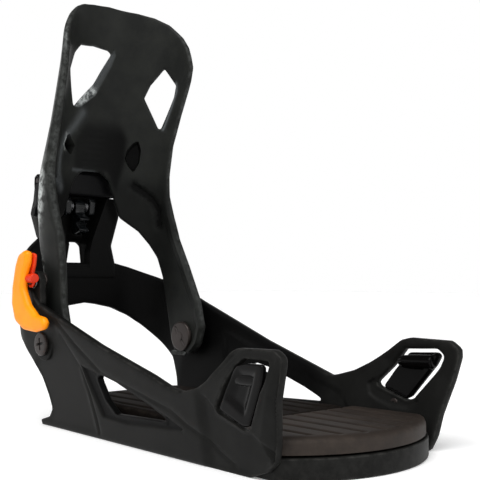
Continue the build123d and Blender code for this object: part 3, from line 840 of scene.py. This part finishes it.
NEAR_RIDGE = [(-12.8, 212), (-20, 202), (-33, 190), (-36, 180), (-34.5, 168), (-30, 158)]
DARK_PANEL = [
    (0, 211), (18, 211), (24.8, 196.8), (25.2, 181.6), (22, 166), (20.4, 153.2), (16.4, 162.8), (12, 172),
    (-15.6, 172), (-18, 190.8), (-9, 205.6)
]
PANEL_LINES = [[(-15, z), (6, z)] for z in np.arange(178.5, 201, 4.3)]

# How strong the scuffs are, the height of their middle, and how far they reach
SCUFF_HEIGHTS = [(2.6, 151, 15), (1.9, 99, 9), (0.3, 268, 12)]


def highback_inside(points):
    """The relief on the highback's inside face."""
    relief = np.zeros(len(points))
    for line in GROOVES:
        relief -= 2.2 * smooth((2.8 - distance(points, line, closed=False)) / 1.2)
    for line in PANEL_LINES:
        relief -= 0.3 * groove(points, line, 0.8)
    for diamond in DIAMONDS:
        relief -= 6.0 * panel(points, diamond, 0.9)
    relief -= 2.4 * sloped(points, FACET_NEAR, 3) + 1.6 * sloped(points, FACET_FAR, 4)
    relief += 0.8 * np.exp(-(distance(points, NEAR_RIDGE, closed=False) / 3.5) ** 2)
    legs = smooth((165 - points[:, 1]) / 30) * smooth((np.abs(points[:, 0]) - 50) / 8)
    edges = [distance(points, line, closed=False) for line in (HIGHBACK_NEAR, HIGHBACK_FAR)]
    relief += 1.9 * legs * smooth((7.5 - np.minimum(*edges)) / 3.5)
    return relief


def highback_outside(points):
    """The bulge on the near rear corner, where it clears the boot's heel, and the diamonds' backs."""
    size = np.interp(points[:, 1], (85, 93, 120, 140, 165, 200, 240, 290), (0, 1, 4, 5.5, 5.5, 2.8, 1, 0))
    relief = size * np.exp(-((points[:, 0] + 42) / 20) ** 2)
    for diamond in DIAMONDS:
        relief = np.maximum(relief, 4.6 * smooth((depth(points, diamond) + 7) / 5))
    return relief


def highback_scuffs_and_highlight(flat, height):
    """The wear on the outside's near rear corner and on the inside by the near window, and a
    painted highlight on the near diamond's left rim.
    """
    strong = 0.1
    for amount, middle, reach in SCUFF_HEIGHTS:
        strong = strong + amount * np.exp(-((height - middle) / reach) ** 2)
    ends = smooth((height - 84) / 8) * smooth((290 - height) / 10)
    corner = np.exp(-((flat[:, 0] + 50.5) / 5.5) ** 2) * ends
    facet = 3.2 * sloped(flat, FACET_NEAR, 3)
    facet *= smooth((234 - flat[:, 1]) / 6) * smooth((flat[:, 1] - 215) / 4)
    # Painted highlight: a lighter flecked ring on the near diamond's left rim, carried in the wear mask.
    rim_highlight = 0.9 * np.exp(-((distance(flat, DIAMONDS[1]) - 1.5) / 1.2) ** 2)
    return strong * corner, facet + rim_highlight * smooth((-26 - flat[:, 0]) / 4)


def highback_painted_sheen(flat):
    """Painted sheen: how far the inside is painted lighter on its facets and along its ridges."""
    light = 0.42 * sloped(flat, FACET_NEAR, 3) ** 0.5 + 0.7 * groove(flat, FACET_FAR[4:], 1.0)
    light += 0.35 * groove(flat, NEAR_RIDGE, 3.2)
    light += 0.3 * groove(flat, [(-17, 171.9), (2, 171.7)], 0.8)
    return light * (depth(flat, DIAMONDS[1]) < 0)


def highback_shaded(flat):
    """How deep in shade the inside is: its panel, its legs' inner sides, grooves and pockets."""
    dark = panel(flat, DARK_PANEL, 5.0) * (0.62 + 0.34 * smooth((flat[:, 0] + 14) / 36))
    dark *= smooth((214 - flat[:, 1]) / 16)
    low = smooth((176 - flat[:, 1]) / 22)
    dark = np.maximum(dark, 0.85 * low * smooth((flat[:, 0] + 62) / 16) * (flat[:, 0] < 0))
    dark = np.maximum(dark, 0.55 * low * smooth((78 - flat[:, 0]) / 20) * (flat[:, 0] > 0))
    for line in GROOVES:
        dark = np.maximum(dark, 0.9 * smooth((2.6 - distance(flat, line, closed=False)) / 1.2))
    for diamond in DIAMONDS:
        dark = np.maximum(dark, 0.95 * panel(flat, diamond, 0.8))
    return dark


def highback():
    outline = rounded([*HIGHBACK_TOP, *HIGHBACK_NEAR, *HIGHBACK_ARCH, *HIGHBACK_FAR], 5.0, 1.8)
    holes = [rounded(WINDOW_NEAR, 1.6, 1.2), rounded(WINDOW_FAR, 1.6, 1.2)]
    for s in (78.4, -78.4):
        holes.append(circle((s, PIVOT[1]), 6.0, 32))
    loops = [shut(loop) for loop in (*DIAMONDS, FACET_NEAR, FACET_FAR)]
    made = plate(outline, highback_place, HIGHBACK_HALF, holes, rim=1.7, drop=1.5, spacing=2.2,
                 front=highback_outside, back=highback_inside, lines=[*GROOVES, *PANEL_LINES, *loops])
    flat = made["flat"]
    count = len(flat)
    outer, inner = highback_scuffs_and_highlight(flat, made["spots"][:count, 2])
    made["wear"] *= 0.2
    # The wear mask here also carries the painted highlight on the near diamond's rim.
    made["wear"] = np.clip(made["wear"] + np.concatenate([outer, inner]), 0, 1.8)
    # A painted sheen on the inside's facets and ridges, and painted shade in its panel, legs, grooves and
    # pockets.
    made["painted_sheen"] = np.concatenate([np.zeros(count), highback_painted_sheen(flat)])
    made["shade"] = np.concatenate([np.zeros(count), highback_shaded(flat)])
    return made


def nut_pad():
    """The pad on the far leg's inside, under its pivot."""
    outline = rounded(box(-114, 39.9, -98, 43), 1.4, 0.9)
    return plate(outline, along_y(47.4), 1.1, rim=0.7, spacing=1.4)


def rib():
    outline = rounded(mirrored([(8, 184), (7.4, 214)], TOWER_CENTRE_Y), 2, 1.6)

    def place(u, v, h):
        lean = np.interp(v, HIGHBACK_SECTIONS[:, 0], HIGHBACK_SECTIONS[:, 2])
        return np.column_stack([-152.5 + (lean + 149.5) * 0.5 - h, u, v])

    return plate(outline, place, 4.2, rim=1.6)


piece("highback_shell", [highback(), rib(), nut_pad()], HIGHBACK, "highback",
      ["highback"])


# ---------------------------------------------------------------- footbed and toe ramp

def valleys(points):
    """1 on the floor between the ribs that run along the foot, and 0 on the narrow ribs."""
    share = points[:, 1] / 13.2 % 1
    return 1 - smooth(np.minimum(share, 1 - share) / 0.16)


def footbed():
    outline = rounded([(-102, -42), (51, -51.5), (51, 51.5), (-102, 42)], 9, 1.8)

    def ribs(points):
        return -2.0 * valleys(points) * smooth((distance(points, outline) - 4) / 2)

    return plate(outline, along_z(12.9), 6.6, rim=2.4, drop=2.2, spacing=1.7, front=ribs)


piece("footbed_pad", [footbed()], FOAM, "chassis", ["footbed"])


def base_pad(name, node, x, length, width):
    outline = rounded(box(x - length / 2, -width / 2, x + length / 2, width / 2), 5)
    made = plate(outline, along_z(1.0), 1.0, rim=1.0, drop=0.7, spacing=2.6)
    piece(name, [made], FOAM, "chassis", [node])


base_pad("rear_pad", "base_pad_rear", -86, 47.2, 87.2)
base_pad("front_pad", "base_pad_front", 110, 15.2, 65.2)


def toe_ramp():
    return plate(toe_outline(54.5, 51, 4.0), along_z(13.7), 2.25, rim=1.0, spacing=2.6)


def toe_grip():
    outline = toe_outline(52, 53.5, 1.0)
    field = toe_outline(40, 52, 6.5)
    ramp_pocket = toe_outline(54, 51.5, 3.5)

    def ribs(points):
        return -2.0 * valleys(points) * panel(points, field, 2.0)

    def pocket(points):
        return -4.3 * panel(points, ramp_pocket, 0.8)

    return plate(outline, along_z(16.1), 4.4, rim=5, drop=3.5, drop_back=0.5, spacing=1.5, front=ribs,
                 back=pocket, lines=[shut(ramp_pocket.tolist())])


piece("toe_ramp_base", [toe_ramp()], RAMP, "toe_ramp", ["toe_ramp"])
piece("toe_grip_top", [toe_grip()], GRIP, "toe_ramp", ["toe_grip"])


# ---------------------------------------------------------------- toe hooks

NEAR_PLATE = [
    (87.5, 53.2), (96, 54.8), (106.8, 55), (103.6, 46), (90.4, 24.9), (85.5, 24), (70, 30.2),
    (69.3, 31.6), (76.6, 41.3), (84.8, 51.2)
]
NEAR_DISH = [
    (88.3, 52.1), (102.1, 52.4), (97.9, 44), (89.7, 30.4), (87.5, 28.6), (74.2, 35.5), (75.8, 39.6),
    (84, 48.7)
]
FAR_PLATE = [
    (68.2, 31.4), (85.2, 26.2), (88.6, 27.8), (102.6, 46), (105, 51.2), (102.5, 53), (83.8, 52),
    (75.5, 42)
]
FAR_FLANGE = [(86.4, 27.5), (89, 28), (103.2, 46.2), (105.4, 51.4), (102.5, 53.2), (98.8, 50), (95.2, 42.7)]
ROLL = [(-6.5, 0.5), (-6.5, 2.2), (-3, 3.6), (2, 4.0), (16.5, 4.0), (16.5, 0.5)]


def near_hook():
    border = rounded(NEAR_PLATE, 2, 1.1)

    def dish(points):
        return -1.8 * smooth(depth(points, NEAR_DISH) / 5)

    return [plate(border, rail_place(-1, 3.2), 1.5, rim=0.9, spacing=1.3, front=dish,
                  lines=[shut(NEAR_DISH)])]


def far_hook():
    border = rounded(FAR_PLATE, 2, 1.1)

    def flange(points):
        return 2.6 * panel(points, FAR_FLANGE, 1.2)

    return [plate(border, rail_place(1, 3.4), 1.3, rim=0.9, spacing=1.3, back=flange,
                  lines=[shut(FAR_FLANGE)])]


def roll(side):
    top = wall_y(95, 47) - 6.5
    return lathe(filleted(ROLL, 1.6, closed=False), (85.5, side * top, 47.0), (1, side * 0.05, 0.04), 40)


def screw_head(place, radius, half, cross, recess, reach=0.52):
    """A domed screw head with a cross recess or a slot."""
    arms = 2 if cross else 1

    def cut_share(points):
        cut = np.zeros(len(points))
        for arm in range(arms):
            along, across = points[:, arm], points[:, 1 - arm]
            bar = smooth((0.7 - np.abs(across)) / 0.25) * smooth((reach * radius - np.abs(along)) / 0.4)
            cut = np.maximum(cut, bar)
        return cut

    def front(points):
        dome = 0.25 * (1 - (np.hypot(*points.T) / radius) ** 2)
        return dome - recess * cut_share(points)

    made = plate(circle((0, 0), radius, 56), place, half, rim=0.8, spacing=0.45, front=front)
    made["shade"] = np.concatenate([cut_share(made["flat"]), np.zeros(len(made["flat"]))])
    return made


def about(x, middle, z, side, turn=0.0):
    """A place for a round head centred on a point, facing out along Y."""
    def place(u, v, h):
        return np.column_stack([x + u * cos(turn) - v * sin(turn), middle + side * h,
                                z + u * sin(turn) + v * cos(turn)])
    return place


piece("hook_plate_near", [*near_hook(), roll(-1)], HOOK, "chassis", ["toe_hook_near"])
piece("hook_plate_far", [*far_hook(), roll(1)], HOOK, "chassis", ["toe_hook_far"])

NUT = (PIVOT[0] + 1.2, PIVOT[1] + 0.4)
NUT_HEAD_RADIUS = 10.4
hook_heads = []
pivot_heads = []
nut_heads = []
for side in (-1, 1):
    inner = wall_y(*HOOK_SCREW) - 6.0
    sunk = about(HOOK_SCREW[0], side * (inner + 2.4), HOOK_SCREW[1], -side, 0.4)
    hook_heads.append(screw_head(sunk, 3.6, 0.8, True, 0.8))
    outer = about(PIVOT[0], side * 64.3, PIVOT[1], side, 0.15)
    pivot_heads.append(screw_head(outer, 7.4, 1.25, True, 1.3))
    pivot_heads.append(lathe(turned(16.2, 2.4), (PIVOT[0], side * 47, PIVOT[1]), (0, side, 0), 24))
    nut_face = about(NUT[0], side * 46.2, NUT[1], -side, -0.9)
    nut_heads.append(screw_head(nut_face, NUT_HEAD_RADIUS, 1.4, False, 0.9, 0.82))
    rim_highlight = filleted([(0, 1.2), (0, 3.0), (0.7, 3.0), (0.7, 1.2)], 0.3, closed=False)
    nut_heads.append(lathe(rim_highlight, (NUT[0], side * 45.0, NUT[1]), (0, -side, 0), 32))
    nut_heads.append(lathe(turned(5.6, 4.4), (PIVOT[0], side * 47.6, PIVOT[1]), (0, side, 0), 32))
piece("hook_screw_heads", hook_heads, STEEL, "chassis", ["toe_hook_screws"])
piece("pivot_screw_heads", pivot_heads, STEEL, "chassis", ["pivot_screws"])
piece("pivot_nut_discs", nut_heads, STEEL, "chassis", ["pivot_nuts"])


# ---------------------------------------------------------------- release lever, hub and link

LEVER = [
    (-107.5, 111), (-113, 112.3), (-120.5, 109.5), (-124.3, 102.6), (-128, 89), (-128.6, 78), (-124, 67),
    (-113, 61.8), (-98.5, 60.8), (-87.4, 63), (-84.8, 67), (-88, 70.3), (-97, 71.5), (-107, 78),
    (-113.5, 88), (-112, 97), (-108.2, 104)
]


def lever():
    outline = rounded(LEVER, 4, 1.1)

    def crown(points):
        return -0.5 * smooth((distance(points, outline) - 4) / 4)

    return [plate(outline, along_y(-70.3), 2.7, rim=3.4, drop=2.3, spacing=1.3, back=crown)]

EAR = [
    (-119, 90), (-119, 99), (-113, 104), (-111.5, 111), (-105.8, 109.5), (-107, 103), (-109, 98),
    (-109, 91)
]


def hub():
    ear = rounded(EAR, 2, 1.1)
    knob = lathe(turned(13, 3.0, 1.2), (-118, -68.2, 94.3), (1, 0, 0), 32)
    eye = lathe(turned(1.2, 4.6, 0.5), (LEVER_PIVOT[0], -67.6, LEVER_PIVOT[1]), (0, 1, 0))
    return [plate(ear, along_y(-67.0), 0.9, rim=0.6), knob, eye]


def lever_pin():
    shaft = lathe(turned(9.5, 2.9), (LEVER_PIVOT[0], -69, LEVER_PIVOT[1]), (0, 1, 0), 32)
    flange = lathe(turned(1.5, 5.0), (LEVER_PIVOT[0], -59.5, LEVER_PIVOT[1]), (0, 1, 0), 32)
    return [shaft, flange]


def link():
    def place(u, v, h):
        angle = u / 38.0
        radius = 38.0 + h
        return np.column_stack([-124 - radius * np.sin(angle), -28 - radius * np.cos(angle), v])

    outline = rounded(box(-2, 86.2, 54, 91.8), 1.2, 1.2)
    return [plate(outline, place, 0.9, rim=0.6, spacing=1.4)]


piece("lever_blade", lever(), ORANGE, "release_lever", ["release_lever"])
piece("lever_knuckle", hub(), RED, "release_lever", ["lever_hub"])
piece("lever_pin_shaft", lever_pin(), STEEL, "chassis", ["lever_pin"])
piece("link_strip", link(), RED, "release_link", ["release_link"])


# ---------------------------------------------------------------- heel latch

def latch_housing():
    cheek = rounded([(-168.6, 139), (-168.6, 152.9), (-157, 152.9), (-155.6, 150), (-157, 141)], 1.5, 0.9)
    hole = circle((-161.5, 147), 2.5, 24)
    parts = [plate(cheek, along_y(middle), 2.2, [hole], rim=0.6, spacing=1.2) for middle in (-13.8, 5.8)]
    back = rounded(box(-14, 142.1, 6, 152.9), 1.0, 1.0)
    parts.append(plate(back, along_x(-167.9), 0.8, rim=0.5, spacing=1.4))
    return parts

LATCH_TONGUE = [
    (-163.4, 150), (-163.4, 128), (-160, 126.1), (-150.2, 129), (-156, 134), (-149.2, 137), (-157, 142),
    (-157, 150)
]


def latch():
    outline = rounded(LATCH_TONGUE, 1.0, 0.9)
    tongue = plate(outline, along_y(-4), 3.9, [circle((-161.5, 147), 2.3, 24)], rim=0.8, spacing=1.2)
    rim_highlight = filleted([(0, 2.6), (0, 4.9), (7.8, 4.9), (7.8, 2.6), (0, 2.6)], 0.3, closed=False)
    return [tongue, lathe(rim_highlight, (-161.5, -7.9, 147), (0, 1, 0), 40)]


piece("latch_housing_plates", latch_housing(), LATCH, "chassis", ["latch_housing"])
piece("heel_latch_tongue", latch(), LATCH, "heel_latch", ["heel_latch"])


# ---------------------------------------------------------------- forward-lean adjuster

LEAN_PIVOT = (-156.5, 163.0)

LEAN_BLOCK = [
    (-167.9, 154.4), (-167.9, 191.9), (-157.7, 191.9), (-157.7, 172.1), (-153.7, 171.1), (-153.7, 154.4)
]


def lean_block():
    outline = rounded(LEAN_BLOCK, 2, 1.2)
    body = plate(outline, along_y(1.5), 23.5, rim=2.0, drop=1.8, spacing=2.0)
    sleeve = lathe(turned(14.5, 4.5, 0.8), (LEAN_PIVOT[0], -36.5, LEAN_PIVOT[1]), (0, 1, 0))
    return [body, sleeve]

LEAN_LEVER = [
    (-160.4, 161), (-159.9, 166), (-156, 167.9), (-151.6, 165), (-151.1, 150), (-152, 139.2),
    (-155, 136.2), (-158.4, 138.2), (-158.9, 148)
]


def lean_lever():
    outline = rounded(LEAN_LEVER, 2, 1.0)

    def knob(points):
        return 2.8 * smooth((147 - points[:, 1]) / 5)

    hole = circle(LEAN_PIVOT, 2.1, 24)
    return [plate(outline, along_y(-38.4), 1.6, [hole], rim=1.2, spacing=1.3, front=knob)]


piece("lean_block_body", lean_block(), ADJUSTER, "lean_block", ["lean_block"])
lean_pin = lathe(turned(26, 1.9), (LEAN_PIVOT[0], -39.6, LEAN_PIVOT[1]), (0, 1, 0), 24)
piece("lean_pin_shaft", [lean_pin], STEEL, "lean_block", ["lean_pin"])
piece("lean_lever_flap", lean_lever(), ADJUSTER, "lean_lever", ["lean_lever"])


# ---------------------------------------------------------------- small CAD parts kept as they are

for kept in ("latch_pin", "ramp_screws"):
    carry_over(kept, STEEL)
for kept in ("latch_springs", "lever_spring"):
    carry_over(kept, SPRING)
carry_over("pivot_bushes", bush_plastic())
carry_over("mounting_disc", disc_plastic())


# ---------------------------------------------------------------- stage, light and camera

def stage_floor():
    mesh = bpy.data.meshes.new("floor")
    mesh.from_pydata([(-6, -6, 0), (6, -6, 0), (6, 6, 0), (-6, 6, 0)], [], [(0, 1, 2, 3)])
    material = bpy.data.materials.new("pale_floor")
    material.use_nodes = True
    shader = material.node_tree.nodes["Principled BSDF"]
    shader.inputs["Base Color"].default_value = (0.92, 0.92, 0.92, 1)
    shader.inputs["Roughness"].default_value = 0.6
    shader.inputs["Emission Color"].default_value = (1, 1, 1, 1)
    shader.inputs["Emission Strength"].default_value = 0.22
    mesh.materials.append(material)
    floor = bpy.data.objects.new("floor", mesh)
    bpy.context.scene.collection.objects.link(floor)


def area_light(name, spot, target, size, power):
    data = bpy.data.lights.new(name, "AREA")
    data.shape = "RECTANGLE"
    data.size, data.size_y = size
    data.energy = power
    light = bpy.data.objects.new(name, data)
    light.location = spot
    light.rotation_euler = (Vector(target) - Vector(spot)).to_track_quat("-Z", "Y").to_euler()
    bpy.context.scene.collection.objects.link(light)


def soft_sun(towards, strength, spread):
    """A broad even light from far away, so the floor is as bright far off as near the object."""
    data = bpy.data.lights.new("softbox", "SUN")
    data.energy = strength
    data.angle = radians(spread)
    light = bpy.data.objects.new("softbox", data)
    light.rotation_euler = Vector(towards).to_track_quat("Z", "Y").to_euler()
    bpy.context.scene.collection.objects.link(light)


def surroundings():
    world = bpy.data.worlds.new("studio")
    world.use_nodes = True
    tree = world.node_tree
    direction = tree.nodes.new("ShaderNodeTexCoord")
    split = tree.nodes.new("ShaderNodeSeparateXYZ")
    height = tree.nodes.new("ShaderNodeMapRange")
    for socket, value in (("From Min", 0.32), ("From Max", 0.45), ("To Min", 1.0), ("To Max", 0.12)):
        height.inputs[socket].default_value = value
    tree.links.new(direction.outputs["Generated"], split.inputs["Vector"])
    tree.links.new(split.outputs["Z"], height.inputs["Value"])
    tree.links.new(height.outputs["Result"], tree.nodes["Background"].inputs["Strength"])
    tree.nodes["Background"].inputs["Color"].default_value = (1, 1, 1, 1)
    bpy.context.scene.world = world
    bpy.context.scene.view_settings.view_transform = "Standard"


def camera():
    azimuth, elevation, reach = radians(48.24), radians(-2.74), 0.56067
    target = Vector((-0.02548, 0.0342, 0.11894))
    back = Vector((sin(azimuth) * cos(elevation), -cos(azimuth) * cos(elevation), sin(elevation)))
    data = bpy.data.cameras.new("camera")
    data.lens = 65.43
    data.sensor_width = 36
    data.clip_start = 0.01
    made = bpy.data.objects.new("camera", data)
    made.location = target + back * reach
    made.rotation_euler = (-back).to_track_quat("-Z", "Y").to_euler()
    bpy.context.scene.collection.objects.link(made)
    bpy.context.scene.camera = made


stage_floor()
soft_sun((0.3, -0.5, 1.0), 2.3, 50)
area_light("key", (0.1, -0.9, 1.1), (-0.05, 0, 0.1), (0.9, 0.9), 5)
area_light("fill", (1.2, 0.3, 0.7), (0, 0, 0.1), (0.8, 0.8), 4)
surroundings()
camera()
